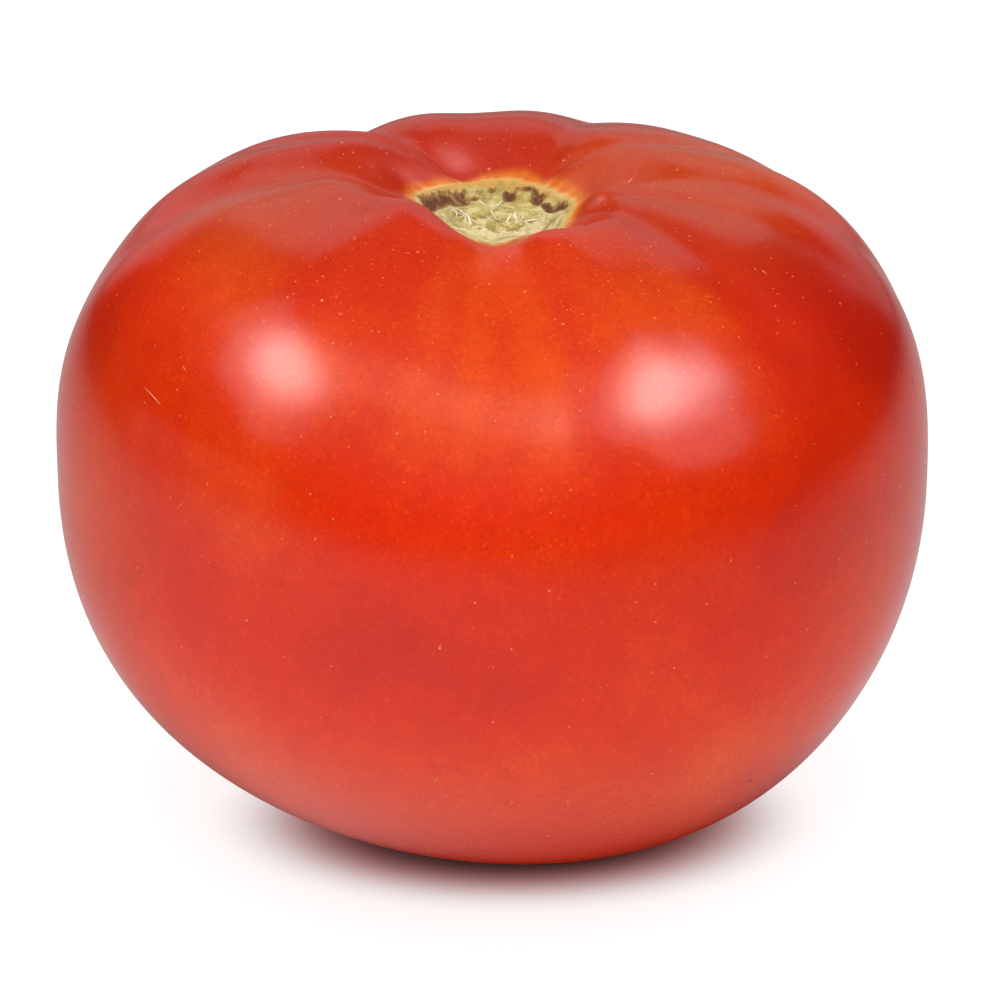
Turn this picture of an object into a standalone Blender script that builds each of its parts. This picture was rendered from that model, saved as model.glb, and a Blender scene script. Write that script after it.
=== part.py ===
"""A ripe round tomato with shallow lobes, one solid, resting on its blossom end.

Metres, +Z up, the seen side faces -Y. The origin is on the floor, under the middle of the bounding box.
Azimuths are in degrees from +X, turning toward +Y.
"""

import bmesh
import bpy
import numpy as np

# Overall form: a superellipse turned about the axis, one half above the widest ring and one below it
HALF_WIDTH = 0.0420
DEPTH_TO_WIDTH = 0.975
WIDEST_Z = 0.0364
UPPER_RISE = 0.0298
UPPER_POWER = 2.73
LOWER_POWER = 2.19
FOOT_CUT = 0.0010
# The fruit leans a little: its lowest part lies this far toward +X
FOOT_SHIFT_X = 0.0055
FOOT_SHIFT_POWER = 4.0

# The bowl round the stem scar
BOWL_DEPTH = 0.0039
BOWL_FLOOR_RADIUS = 0.0070
BOWL_RIM_RADIUS = 0.0165
RIM_SOFTNESS = 0.75
# The rim is lower in front, where the bowl opens. The end and the full depth are sines of latitudes
GAP_AZIMUTH = 273.0
GAP_DEPTH = 0.0028
GAP_SPREAD = 13.7
GAP_END = 0.25
GAP_FULL = 0.955
# Where the rim of the bowl comes in closer: azimuth, inset, spread in degrees
RIM_INSETS = ((220.0, 0.0031, 22.0), (350.0, 0.0051, 14.9), (92.0, -0.0040, 34.0))

# Furrows: azimuth at the scar, azimuth on the shoulder, depth, half width in degrees, sine of the latitude
# where it ends
FURROWS = (
    (104.0, 122.0, 0.0022, 9.0, 0.15),
    (57.0, 69.0, 0.0014, 9.0, 0.15),
    (167.0, 176.5, 0.0014, 13.5, 0.05),
    (281.4, 281.4, 0.0008, 8.0, 0.10),
    (350.0, 8.4, 0.0011, 10.0, 0.05),
    (346.0, 322.0, 0.0005, 8.0, 0.40),
    (108.0, 150.0, 0.0004, 6.0, 0.50),
    (62.0, 30.0, 0.0005, 6.0, 0.50),
    (336.0, 352.0, 0.0004, 7.0, 0.50),
)
FURROW_NONE_WITHIN = 0.0066
FURROW_EASE = 0.0060
FURROW_START_RADIUS = 0.0080
FURROW_DRIFT_LENGTH = 0.0059
FURROW_LIP = 0.12

# Lobes of the shoulder: azimuth, rise (negative is lower), spread in degrees
LOBES = (
    (10.0, 0.0008, 16.0),
    (35.0, 0.0004, 16.0),
    (70.0, 0.0009, 14.0),
    (92.0, -0.0003, 24.0),
    (118.0, 0.0005, 14.0),
    (148.0, 0.0009, 16.0),
    (180.0, 0.0010, 14.0),
    (200.0, 0.0004, 20.0),
    (215.0, 0.0002, 16.0),
    (235.0, 0.0013, 16.0),
    (279.2, 0.0012, 14.0),
    (305.0, -0.0003, 18.0),
    (325.0, -0.0003, 16.0),
    (345.0, -0.0004, 16.0),
)

# The corky stem scar
SCAR_RADIUS = 0.0074
SCAR_POINTS = (
    (10.0, 0.05, 16.0),
    (90.0, 0.05, 30.0),
    (150.0, 0.13, 14.0),
    (225.0, -0.12, 18.0),
    (270.0, 0.26, 17.0),
    (315.0, 0.13, 18.0),
)
SCAR_DISH = 0.0009
SCAR_KNOB = 0.0006
SCAR_EDGE = 0.0002
# Pits in the cork: azimuth, distance from the axis, radius, depth
PITS = (
    (149.0, 0.0060, 0.0013, 0.0006),
    (123.0, 0.0056, 0.0011, 0.0006),
    (91.0, 0.0062, 0.0007, 0.0003),
    (73.5, 0.0057, 0.0009, 0.0005),
    (46.0, 0.0060, 0.0008, 0.0005),
    (21.0, 0.0058, 0.0010, 0.0005),
    (215.0, 0.0050, 0.0011, 0.0004),
    (300.0, 0.0050, 0.0010, 0.0003),
)

# Grid of the solid
AROUND = 96
SIDE_RINGS = 22
CROWN_RINGS = 12
CROWN_RADIUS = 0.0250
SCAR_RINGS = 5
INNER_SCAR_RINGS = 3


def smooth(value):
    value = np.clip(value, 0.0, 1.0)
    return value * value * (3.0 - 2.0 * value)


def turn(degrees):
    """The same angle in radians, between -pi and pi."""
    return (np.radians(degrees) + np.pi) % (2.0 * np.pi) - np.pi


def bump(azimuth, middle, spread):
    """1 at the middle azimuth, fading to 0 over the spread, both in degrees."""
    return np.exp(-((turn(azimuth - middle) / np.radians(spread)) ** 2))


def profile(latitude):
    """Distance from the axis and height of the plain turned form."""
    c, s = np.cos(latitude), np.sin(latitude)
    power = np.where(s < 0.0, LOWER_POWER, UPPER_POWER)
    k = (np.abs(c) ** power + np.abs(s) ** power) ** (-1.0 / power)
    height = np.where(s < 0.0, WIDEST_Z + FOOT_CUT, UPPER_RISE)
    return HALF_WIDTH * c * k, WIDEST_Z + height * s * k


def latitude_at(radius, power, sign):
    """The latitude at which the plain form has this distance from the axis."""
    q = np.clip(radius / HALF_WIDTH, 1e-9, 1.0) ** power
    return sign * np.arctan(((1.0 - q) / q) ** (1.0 / power))


def furrow_depth(azimuth, radius, height_sine):
    """How far the furrows draw the skin in, with a low lip along each side."""
    outward = np.clip(radius - FURROW_START_RADIUS, 0.0, None)
    drift = 1.0 - np.exp(-outward / FURROW_DRIFT_LENGTH)
    total = 0.0
    for at_scar, at_shoulder, depth, half_width, end in FURROWS:
        middle = at_scar + np.degrees(turn(at_shoulder - at_scar)) * drift
        across = turn(azimuth - middle) / np.radians(half_width)
        cut = np.exp(0.15**0.65 - (across * across + 0.15) ** 0.65)
        lip = FURROW_LIP * np.exp(-(((np.abs(across) - 1.7) / 0.8) ** 2))
        total = total + depth * (cut - lip) * smooth((height_sine - end) / (0.80 - end))
    return total


def scar_relief(azimuth, radius):
    """Height of the cork over the floor of the bowl. Radius is measured on the round scar, before its points."""
    q = radius / SCAR_RADIUS
    relief = -SCAR_DISH * smooth((1.0 - q) / 0.35) + SCAR_KNOB * np.exp(-((q / 0.3) ** 2))
    relief = relief + SCAR_EDGE * np.exp(-(((q - 0.97) / 0.06) ** 2))
    x = radius * np.cos(np.radians(azimuth))
    y = radius * np.sin(np.radians(azimuth))
    for at, distance, size, depth in PITS:
        dx = x - distance * np.cos(np.radians(at))
        dy = y - distance * np.sin(np.radians(at))
        relief = relief - depth * np.exp(-(dx * dx + dy * dy) / (size * size))
    return relief


def surface(azimuth, latitude):
    """Points of the skin and of the scar, for azimuths in degrees and latitudes in radians."""
    radius, z = profile(latitude)
    s = np.sin(latitude)
    upper = s > 0.0

    draw = furrow_depth(azimuth, radius, s)
    for middle, rise, spread in LOBES:
        draw = draw - rise * bump(azimuth, middle, spread) * smooth(s / 0.75)
    draw = draw * smooth((radius - FURROW_NONE_WITHIN) / FURROW_EASE)

    rim = BOWL_RIM_RADIUS
    for middle, inset, spread in RIM_INSETS:
        rim = rim - inset * bump(azimuth, middle, spread)
    climb = smooth(np.clip((radius - BOWL_FLOOR_RADIUS) / (rim - BOWL_FLOOR_RADIUS), 0.0, 1.0) ** RIM_SOFTNESS)
    gap_fade = smooth((s - GAP_END) / (GAP_FULL - GAP_END))
    draw = draw + GAP_DEPTH * bump(azimuth, GAP_AZIMUTH, GAP_SPREAD) * climb * gap_fade
    out_r, out_z = np.cos(latitude) / HALF_WIDTH, s / UPPER_RISE
    length = np.hypot(out_r, out_z)

    bowl = BOWL_DEPTH * (1.0 - climb)
    z = z - draw * out_z / length - np.where(upper, bowl - scar_relief(azimuth, radius), 0.0)

    points = 0.0
    for middle, reach, spread in SCAR_POINTS:
        points = points + reach * bump(azimuth, middle, spread)
    stretch = points * (1.0 - smooth((radius - SCAR_RADIUS) / SCAR_RADIUS)) * upper
    radius = (radius - draw * out_r / length) * (1.0 + stretch)

    x = radius * np.cos(np.radians(azimuth)) + FOOT_SHIFT_X * np.clip(-s, 0.0, 1.0) ** FOOT_SHIFT_POWER
    y = radius * np.sin(np.radians(azimuth)) * DEPTH_TO_WIDTH
    return np.stack([x, y, z], axis=-1)


def ring_latitudes():
    """Latitudes of the rings, from the foot up to the edge of the scar."""
    ratio = WIDEST_Z / (WIDEST_Z + FOOT_CUT)
    foot_radius = HALF_WIDTH * (1.0 - ratio**LOWER_POWER) ** (1.0 / LOWER_POWER)
    foot_latitude = latitude_at(foot_radius, LOWER_POWER, -1.0)
    crown_latitude = latitude_at(CROWN_RADIUS, UPPER_POWER, 1.0)
    side = np.linspace(foot_latitude, crown_latitude, SIDE_RINGS)
    radii = np.linspace(CROWN_RADIUS, SCAR_RADIUS, CROWN_RINGS + 1)[1:]
    return np.concatenate([side, latitude_at(radii, UPPER_POWER, 1.0)])


def ring(count, latitude):
    azimuth = np.arange(count) * 360.0 / count
    return surface(azimuth, np.full(count, latitude))


def middle_of_box():
    """Where the middle of the box round the fruit falls, from its rings."""
    points = np.concatenate([ring(AROUND, latitude) for latitude in ring_latitudes()])
    return (points.min(axis=0) + points.max(axis=0)) / 2.0


def stitch(mesh, lower, upper):
    """Faces between two rings. The upper one has as many points as the lower one, or half as many."""
    n, m = len(lower), len(upper)
    step = n // m
    for i in range(m):
        j = (i + 1) % m
        a = [lower[(i * step + k) % n] for k in range(step + 1)]
        if step == 1:
            mesh.faces.new((a[0], a[1], upper[j], upper[i]))
        else:
            mesh.faces.new((a[0], a[1], upper[i]))
            mesh.faces.new((a[1], upper[j], upper[i]))
            mesh.faces.new((a[1], a[2], upper[j]))


def build():
    shift = middle_of_box() * np.array([1.0, 1.0, 0.0])
    mesh = bmesh.new()

    def add(points):
        return [mesh.verts.new(tuple(point - shift)) for point in points]

    rings = [add(ring(AROUND, latitude)) for latitude in ring_latitudes()]
    outer = np.linspace(SCAR_RADIUS, 0.45 * SCAR_RADIUS, SCAR_RINGS + 1)[1:]
    inner = np.linspace(0.45 * SCAR_RADIUS, 0.0, INNER_SCAR_RINGS + 2)[1:-1]
    for radius in outer:
        rings.append(add(ring(AROUND, latitude_at(radius, UPPER_POWER, 1.0))))
    for radius in inner:
        rings.append(add(ring(AROUND // 2, latitude_at(radius, UPPER_POWER, 1.0))))
    for lower, upper in zip(rings, rings[1:]):
        stitch(mesh, lower, upper)

    top = mesh.verts.new(tuple(ring(1, np.pi / 2.0)[0] - shift))
    last = rings[-1]
    for i, vertex in enumerate(last):
        mesh.faces.new((vertex, last[(i + 1) % len(last)], top))
    mesh.faces.new(tuple(reversed(rings[0])))
    bmesh.ops.recalc_face_normals(mesh, faces=mesh.faces)
    return mesh


def skin_material():
    material = bpy.data.materials.new("tomato_skin")
    material.use_nodes = True
    shader = material.node_tree.nodes["Principled BSDF"]
    shader.inputs["Base Color"].default_value = (0.68, 0.055, 0.015, 1.0)
    shader.inputs["Roughness"].default_value = 0.3
    shader.inputs["Metallic"].default_value = 0.0
    return material


def main():
    for old in list(bpy.data.objects):
        bpy.data.objects.remove(old, do_unlink=True)
    data = bpy.data.meshes.new("tomato")
    mesh = build()
    mesh.to_mesh(data)
    mesh.free()
    for polygon in data.polygons:
        polygon.use_smooth = True
    data.materials.append(skin_material())
    tomato = bpy.data.objects.new("tomato", data)
    bpy.context.scene.collection.objects.link(tomato)


main()
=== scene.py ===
"""The looks of a ripe tomato: lobed skin and a corky stem scar in its bowl, then floor, lights and camera.

Metres, +Z up, the seen side faces -Y. Azimuths are in degrees from +X, turning toward +Y.
"""

import math

import bpy
import numpy as np
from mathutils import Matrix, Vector, noise


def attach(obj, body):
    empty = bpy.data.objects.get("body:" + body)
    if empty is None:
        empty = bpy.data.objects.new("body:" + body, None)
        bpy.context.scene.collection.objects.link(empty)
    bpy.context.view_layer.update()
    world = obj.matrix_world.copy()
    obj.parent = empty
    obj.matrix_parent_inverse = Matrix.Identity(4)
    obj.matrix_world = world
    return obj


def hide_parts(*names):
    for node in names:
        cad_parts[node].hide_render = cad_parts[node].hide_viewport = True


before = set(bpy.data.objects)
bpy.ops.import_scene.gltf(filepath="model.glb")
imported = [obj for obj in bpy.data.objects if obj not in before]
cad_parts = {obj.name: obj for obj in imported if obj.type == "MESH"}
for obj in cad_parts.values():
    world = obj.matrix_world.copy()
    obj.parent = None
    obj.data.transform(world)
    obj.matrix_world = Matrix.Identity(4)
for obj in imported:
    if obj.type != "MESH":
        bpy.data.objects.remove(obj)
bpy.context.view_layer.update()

# Form of the skin and the scar, by the same formula as the solid
HALF_WIDTH = 0.0420
DEPTH_TO_WIDTH = 0.975
WIDEST_Z = 0.0364
UPPER_RISE = 0.0298
UPPER_POWER = 2.73
LOWER_POWER = 2.19
FOOT_CUT = 0.0010
FOOT_SHIFT_X = 0.0055
FOOT_SHIFT_POWER = 4.0
BOWL_DEPTH = 0.0039
BOWL_FLOOR_RADIUS = 0.0070
BOWL_RIM_RADIUS = 0.0165
RIM_SOFTNESS = 0.75
# The rim is lower in front, where the bowl opens. The end and the full depth are sines of latitudes
GAP_AZIMUTH = 273.0
GAP_DEPTH = 0.0028
GAP_SPREAD = 13.7
GAP_END = 0.25
GAP_FULL = 0.955
# Where the rim of the bowl is nearer: azimuth, inset, spread
RIM_INSETS = ((220.0, 0.0031, 22.0), (350.0, 0.0051, 14.9), (92.0, -0.0040, 34.0))
# Azimuth at the scar and on the shoulder, depth, half width in degrees, sine of the latitude of the end
FURROWS = (
    (104.0, 122.0, 0.0022, 9.0, 0.15),
    (57.0, 69.0, 0.0014, 9.0, 0.15),
    (167.0, 176.5, 0.0014, 13.5, 0.05),
    (281.4, 281.4, 0.0008, 8.0, 0.10),
    (350.0, 8.4, 0.0011, 10.0, 0.05),
    (346.0, 322.0, 0.0005, 8.0, 0.40),
    (108.0, 150.0, 0.0004, 6.0, 0.50),
    (62.0, 30.0, 0.0005, 6.0, 0.50),
    (336.0, 352.0, 0.0004, 7.0, 0.50),
)
FURROW_NONE_WITHIN = 0.0066
FURROW_EASE = 0.0060
FURROW_START_RADIUS = 0.0080
FURROW_DRIFT_LENGTH = 0.0059
FURROW_LIP = 0.12
FURROW_FULL = 0.80
LOBE_FULL = 0.75
# Azimuth, rise (- for a hollow), spread
LOBES = (
    (10.0, 0.0008, 16.0),
    (35.0, 0.0004, 16.0),
    (70.0, 0.0009, 14.0),
    (92.0, -0.0003, 24.0),
    (118.0, 0.0005, 14.0),
    (148.0, 0.0009, 16.0),
    (180.0, 0.0010, 14.0),
    (200.0, 0.0004, 20.0),
    (215.0, 0.0002, 16.0),
    (235.0, 0.0013, 16.0),
    (279.2, 0.0012, 14.0),
    (305.0, -0.0003, 18.0),
    (325.0, -0.0003, 16.0),
    (345.0, -0.0004, 16.0),
)
SCAR_RADIUS = 0.0074
# Azimuth, share by which the scar reaches further, spread
SCAR_POINTS = (
    (10.0, 0.05, 16.0),
    (90.0, 0.05, 30.0),
    (150.0, 0.13, 14.0),
    (225.0, -0.12, 18.0),
    (270.0, 0.26, 17.0),
    (315.0, 0.13, 18.0),
)
SCAR_DISH = 0.0009
SCAR_KNOB = 0.0006
SCAR_EDGE = 0.0002
# Azimuth, distance, size, depth
PITS = (
    (149.0, 0.0060, 0.0013, 0.0006),
    (123.0, 0.0056, 0.0011, 0.0006),
    (91.0, 0.0062, 0.0007, 0.0003),
    (73.5, 0.0057, 0.0009, 0.0005),
    (46.0, 0.0060, 0.0008, 0.0005),
    (21.0, 0.0058, 0.0010, 0.0005),
    (215.0, 0.0050, 0.0011, 0.0004),
    (300.0, 0.0050, 0.0010, 0.0003),
)

# The grid for the middle of the box, then the finer one of the skin
BOX_AROUND = 96
BOX_SIDE_RINGS = 60
AROUND = 384
SIDE_RINGS = 84
CROWN_RINGS = 60
CROWN_RADIUS = 0.0250
SEAT_RINGS = 10
FOOT_RINGS = 8
CORK_AROUND = 480
CORK_RINGS = 90

MARK_HEIGHT = 0.00004
# The dot of the blossom end: radius, then the heights of its edge, lowest and highest point
BLOSSOM_RADIUS = 0.0015
BLOSSOM_EDGE = 0.00042
BLOSSOM_LOW = 0.00017
BLOSSOM_HIGH = 0.00060
# The skin under the cork lies lower, out of sight
SEAT_DROP = 0.0007
# The middle of the foot is hollow, so the blossom scar has room
FOOT_HOLLOW = 0.00035
FOOT_HOLLOW_SHARE = 0.62
# The cork's edge dips under the skin
CORK_REACH = 1.05
CORK_EDGE_DROP = 0.0007
CORK_THICKNESS = 0.0012
# Heights of the cork's relief
STRAND_HEIGHT = 0.00020
SPOKE_HEIGHT = 0.00010
LUMP_HEIGHT = 0.00022
CRUMB_HEIGHT = 0.00008
LEDGE_HEIGHT = 0.00026

# Colour zones of the skin: azimuth, height, spread in degrees, spread in height, warmth (+ orange, - crimson)
ZONES = (
    (271.0, 0.0585, 34.0, 0.0090, 0.55),
    (272.0, 0.0480, 30.0, 0.0060, 0.15),
    (248.0, 0.0340, 11.0, 0.0060, -0.30),
    (273.5, 0.0300, 9.0, 0.0050, -0.34),
    (309.0, 0.0362, 10.0, 0.0070, -0.30),
    (302.0, 0.0175, 9.0, 0.0070, 0.55),
    (236.0, 0.0440, 14.0, 0.0060, 0.20),
    (216.0, 0.0350, 12.0, 0.0100, -0.15),
    (24.0, 0.0655, 14.0, 0.0060, 0.50),
    (320.0, 0.0435, 10.0, 0.0090, -0.25),
    (345.0, 0.0560, 17.0, 0.0075, -0.85),
    (196.0, 0.0530, 9.0, 0.0060, -0.55),
    (305.0, 0.0620, 13.0, 0.0040, 0.40),
    (218.0, 0.0630, 20.0, 0.0030, 0.30),
    (28.0, 0.0655, 22.0, 0.0060, 0.55),
)
# Paler patches on the flanks, on the crown's rim and low round the belly, where the skin is seen at a slant:
# painted sheen. Azimuth, height, spread in degrees, spread in height, amount
PAINTED_SHEEN_PATCHES = (
    (205.0, 0.0400, 14.0, 0.0150, 0.90),
    (328.0, 0.0340, 12.0, 0.0090, 0.55),
    (190.0, 0.0645, 24.0, 0.0030, 0.90),
    (356.0, 0.0640, 24.0, 0.0030, 0.95),
    (35.0, 0.0640, 24.0, 0.0060, 0.80),
    (250.0, 0.0190, 40.0, 0.0070, 0.50),
    (300.0, 0.0190, 30.0, 0.0070, 0.35),
)
# Where it is purest: the same numbers
PURE = ((275.0, 0.0480, 27.0, 0.0048, 0.85), (257.0, 0.0500, 12.0, 0.0040, 0.30))
# Faint upright stripes: azimuth, strength (+ lighter), spread
STRIPES = (
    (253.5, -0.5, 3.2),
    (258.0, 0.5, 2.8),
    (262.5, -0.4, 2.6),
    (266.8, 0.5, 2.6),
    (272.0, -0.4, 2.8),
    (278.5, 0.7, 3.2),
    (284.5, -0.6, 3.4),
    (291.0, 0.3, 3.0),
    (303.0, -0.5, 4.0),
    (312.0, 0.6, 4.0),
    (321.0, -0.5, 3.6),
    (232.0, -0.4, 4.0),
    (240.0, 0.3, 4.0),
)

# Brown pits of the scar: azimuth, distance, half length round the scar, half width across it, how dark
BROWN_PITS = (
    (149.0, 0.0062, 0.0016, 0.0009, 1.0),
    (123.0, 0.0058, 0.0012, 0.0010, 0.95),
    (107.0, 0.0053, 0.0004, 0.0004, 0.8),
    (91.0, 0.0064, 0.0004, 0.0004, 0.75),
    (73.5, 0.0058, 0.0008, 0.0008, 0.9),
    (60.0, 0.0067, 0.0013, 0.00025, 0.8),
    (46.0, 0.0062, 0.0008, 0.0006, 1.0),
    (28.0, 0.0058, 0.0011, 0.0004, 1.0),
    (14.0, 0.0064, 0.0010, 0.0006, 1.0),
)
# Pale core of the second pit
PIT_CORE = (123.0, 0.0058, 0.0005, 0.0005, 0.6)

# Linear colours
CRIMSON = (0.57, 0.0150, 0.0035, 1.0)
RED = (0.74, 0.0260, 0.0020, 1.0)
ORANGE = (0.87, 0.0760, 0.0022, 1.0)
# Deeper crimson of the shoulders, also laid under the belly as painted shade
DEEP_CRIMSON_AND_SHADE = (0.47, 0.0210, 0.0030, 1.0)
# Pale orange of the painted sheen
PAINTED_SHEEN_TINT = (0.84, 0.2400, 0.0300, 1.0)
PUREST = (0.85, 0.0270, 0.0015, 1.0)
GOLDEN_CELL = (0.95, 0.1700, 0.0040, 1.0)
DARK_CELL = (0.46, 0.0080, 0.0040, 1.0)
DARK_PATCH = (0.52, 0.0100, 0.0060, 1.0)
FLECK = (0.93, 0.4200, 0.1700, 1.0)
HALO = (0.86, 0.2700, 0.0240, 1.0)
STRAW = (0.72, 0.4200, 0.1100, 1.0)
CORK_DARK = (0.43, 0.310, 0.085, 1.0)
CORK_LIGHT = (0.62, 0.500, 0.170, 1.0)
CORK_SIDE = (0.48, 0.370, 0.160, 1.0)
CORK_CREAM = (0.78, 0.650, 0.340, 1.0)
CORK_STRAND = (0.80, 0.690, 0.380, 1.0)
# Painted shade for the grooves between the strands
CORK_GROOVE_SHADE = (0.25, 0.195, 0.075, 1.0)
CORK_GRAIN_DARK = (0.24, 0.165, 0.060, 1.0)
CORK_GRAIN_LIGHT = (0.86, 0.760, 0.450, 1.0)
CORK_GOLD = (0.66, 0.360, 0.075, 1.0)
PIT_EDGE = (0.27, 0.115, 0.040, 1.0)
PIT_DARK = (0.12, 0.038, 0.018, 1.0)
FIBRE_DARK = (0.74, 0.680, 0.440, 1.0)
FIBRE_LIGHT = (0.93, 0.900, 0.720, 1.0)
BLOSSOM_DARK = (0.20, 0.100, 0.045, 1.0)
BLOSSOM_LIGHT = (0.52, 0.360, 0.180, 1.0)
SCRATCH_DARK = (0.72, 0.160, 0.045, 1.0)
SCRATCH_LIGHT = (0.82, 0.240, 0.080, 1.0)
SPECK_DARK = (0.14, 0.030, 0.016, 1.0)
SPECK_LIGHT = (0.24, 0.050, 0.024, 1.0)
WHITE = (1.0, 1.0, 1.0, 1.0)
BLACK = (0.0, 0.0, 0.0, 1.0)
FLOOR_DARK = (0.33, 0.330, 0.330, 1.0)
FLOOR_LIGHT = (0.35, 0.350, 0.350, 1.0)
# Painted red bounce light of the fruit, in the floor's glow close to the foot
PAINTED_BOUNCE_RED = (1.0, 0.200, 0.180, 1.0)

# Shares of the painted sheen and of the pale flecks, and the skin's gloss
PAINTED_SHEEN_AMOUNT = 0.15
FLECK_AMOUNT = 0.62
SKIN_IOR = 1.38
SKIN_ROUGHNESS = 0.17
SKIN_ROUGHNESS_RANGE = 0.05
SATIN_ROUGHNESS = 0.24
STRAW_ROUGHNESS = 0.3

FLOOR_RADIUS = 0.25
CARD_RADIUS = 0.60
FOOT_MIDDLE_X = 0.0047
# The floor glows outside an oval under the fruit: painted light, with a painted contact shadow in the oval
GLOW = 0.80
GLOW_WIDE, GLOW_DEEP = 1.18, 0.80
GLOW_MIDDLE_X, GLOW_MIDDLE_Y = 0.0020, -0.0047
GLOW_FROM = 0.0122
GLOW_TO = 0.0263
GLOW_WHITE_FROM = 0.0226
# The white behind everything, for the camera alone
BACKDROP_WHITE = 1.7


def smooth(value):
    value = np.clip(value, 0.0, 1.0)
    return value * value * (3.0 - 2.0 * value)


def turn(degrees):
    return (np.radians(degrees) + np.pi) % (2.0 * np.pi) - np.pi


def bump(azimuth, middle, spread):
    return np.exp(-((turn(azimuth - middle) / np.radians(spread)) ** 2))


def profile(latitude):
    c, s = np.cos(latitude), np.sin(latitude)
    power = np.where(s < 0.0, LOWER_POWER, UPPER_POWER)
    k = (np.abs(c) ** power + np.abs(s) ** power) ** (-1.0 / power)
    height = np.where(s < 0.0, WIDEST_Z + FOOT_CUT, UPPER_RISE)
    return HALF_WIDTH * c * k, WIDEST_Z + height * s * k


def latitude_at(radius, power, sign):
    q = np.clip(radius / HALF_WIDTH, 1e-9, 1.0) ** power
    return sign * np.arctan(((1.0 - q) / q) ** (1.0 / power))


def furrow_depth(azimuth, radius, height_sine):
    outward = np.clip(radius - FURROW_START_RADIUS, 0.0, None)
    drift = 1.0 - np.exp(-outward / FURROW_DRIFT_LENGTH)
    total = 0.0
    for at_scar, at_shoulder, depth, half_width, end in FURROWS:
        middle = at_scar + np.degrees(turn(at_shoulder - at_scar)) * drift
        across = turn(azimuth - middle) / np.radians(half_width)
        cut = np.exp(0.15**0.65 - (across * across + 0.15) ** 0.65)
        lip = FURROW_LIP * np.exp(-(((np.abs(across) - 1.7) / 0.8) ** 2))
        total = total + depth * (cut - lip) * smooth((height_sine - end) / (FURROW_FULL - end))
    return total


def scar_relief(azimuth, radius):
    q = radius / SCAR_RADIUS
    relief = -SCAR_DISH * smooth((1.0 - q) / 0.35) + SCAR_KNOB * np.exp(-((q / 0.3) ** 2))
    relief = relief + SCAR_EDGE * np.exp(-(((q - 0.97) / 0.06) ** 2))
    x = radius * np.cos(np.radians(azimuth))
    y = radius * np.sin(np.radians(azimuth))
    for at, distance, size, depth in PITS:
        dx = x - distance * np.cos(np.radians(at))
        dy = y - distance * np.sin(np.radians(at))
        relief = relief - depth * np.exp(-(dx * dx + dy * dy) / (size * size))
    return relief


def surface(azimuth, latitude):
    """Points of the skin and of the scar, as in the solid."""
    radius, z = profile(latitude)
    s = np.sin(latitude)
    upper = s > 0.0
    draw = furrow_depth(azimuth, radius, s)
    for middle, rise, spread in LOBES:
        draw = draw - rise * bump(azimuth, middle, spread) * smooth(s / LOBE_FULL)
    draw = draw * smooth((radius - FURROW_NONE_WITHIN) / FURROW_EASE)

    rim = BOWL_RIM_RADIUS
    for middle, inset, spread in RIM_INSETS:
        rim = rim - inset * bump(azimuth, middle, spread)
    up_the_wall = np.clip((radius - BOWL_FLOOR_RADIUS) / (rim - BOWL_FLOOR_RADIUS), 0.0, 1.0)
    climb = smooth(up_the_wall**RIM_SOFTNESS)
    gap_fade = smooth((s - GAP_END) / (GAP_FULL - GAP_END))
    draw = draw + GAP_DEPTH * bump(azimuth, GAP_AZIMUTH, GAP_SPREAD) * climb * gap_fade
    out_r, out_z = np.cos(latitude) / HALF_WIDTH, s / UPPER_RISE
    length = np.hypot(out_r, out_z)
    bowl = BOWL_DEPTH * (1.0 - climb)
    z = z - draw * out_z / length - np.where(upper, bowl - scar_relief(azimuth, radius), 0.0)
    points = 0.0
    for middle, reach, spread in SCAR_POINTS:
        points = points + reach * bump(azimuth, middle, spread)
    stretch = points * (1.0 - smooth((radius - SCAR_RADIUS) / SCAR_RADIUS)) * upper
    radius = (radius - draw * out_r / length) * (1.0 + stretch)
    x = radius * np.cos(np.radians(azimuth)) + FOOT_SHIFT_X * np.clip(-s, 0.0, 1.0) ** FOOT_SHIFT_POWER
    y = radius * np.sin(np.radians(azimuth)) * DEPTH_TO_WIDTH
    return np.stack([x, y, z], axis=-1)


def foot_latitude():
    ratio = WIDEST_Z / (WIDEST_Z + FOOT_CUT)
    foot_radius = HALF_WIDTH * (1.0 - ratio**LOWER_POWER) ** (1.0 / LOWER_POWER)
    return latitude_at(foot_radius, LOWER_POWER, -1.0)


def skin_latitudes():
    """Latitudes of the skin's rings, from the foot up to the edge of the scar."""
    crown_latitude = latitude_at(CROWN_RADIUS, UPPER_POWER, 1.0)
    side = np.linspace(foot_latitude(), crown_latitude, SIDE_RINGS)
    radii = np.linspace(CROWN_RADIUS, SCAR_RADIUS, CROWN_RINGS + 1)[1:]
    return np.concatenate([side, latitude_at(radii, UPPER_POWER, 1.0)])


def noise_at(points, size, seed, octaves=1):
    """Smooth noise about 0 at each point, with features of that size in metres."""
    offset = Vector((seed * 7.31, seed * 3.17, seed * 5.77))
    scale = 1.0 / size
    if octaves == 1:
        return np.array([noise.noise(Vector(p) * scale + offset) for p in points])
    return np.array([noise.fractal(Vector(p) * scale + offset, 0.6, 2.0, octaves) for p in points])


def grid_faces(rings, around, offset=0):
    """Quads between rings that lie one after another."""
    faces = []
    for r in range(rings - 1):
        low = offset + r * around
        for i in range(around):
            j = (i + 1) % around
            faces.append((low + i, low + j, low + around + j, low + around + i))
    return faces


def new_piece(name, points, faces, material):
    data = bpy.data.meshes.new(name)
    data.from_pydata([tuple(p) for p in points], [], faces)
    data.update()
    for polygon in data.polygons:
        polygon.use_smooth = True
    data.materials.append(material)
    piece = bpy.data.objects.new(name, data)
    bpy.context.scene.collection.objects.link(piece)
    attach(piece, "root")
    return piece


def paint(piece, name, values):
    """A number for each point of the mesh, which the material reads by its name."""
    attribute = piece.data.attributes.new(name, "FLOAT", "POINT")
    attribute.data.foreach_set("value", np.asarray(values, np.float32))


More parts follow.
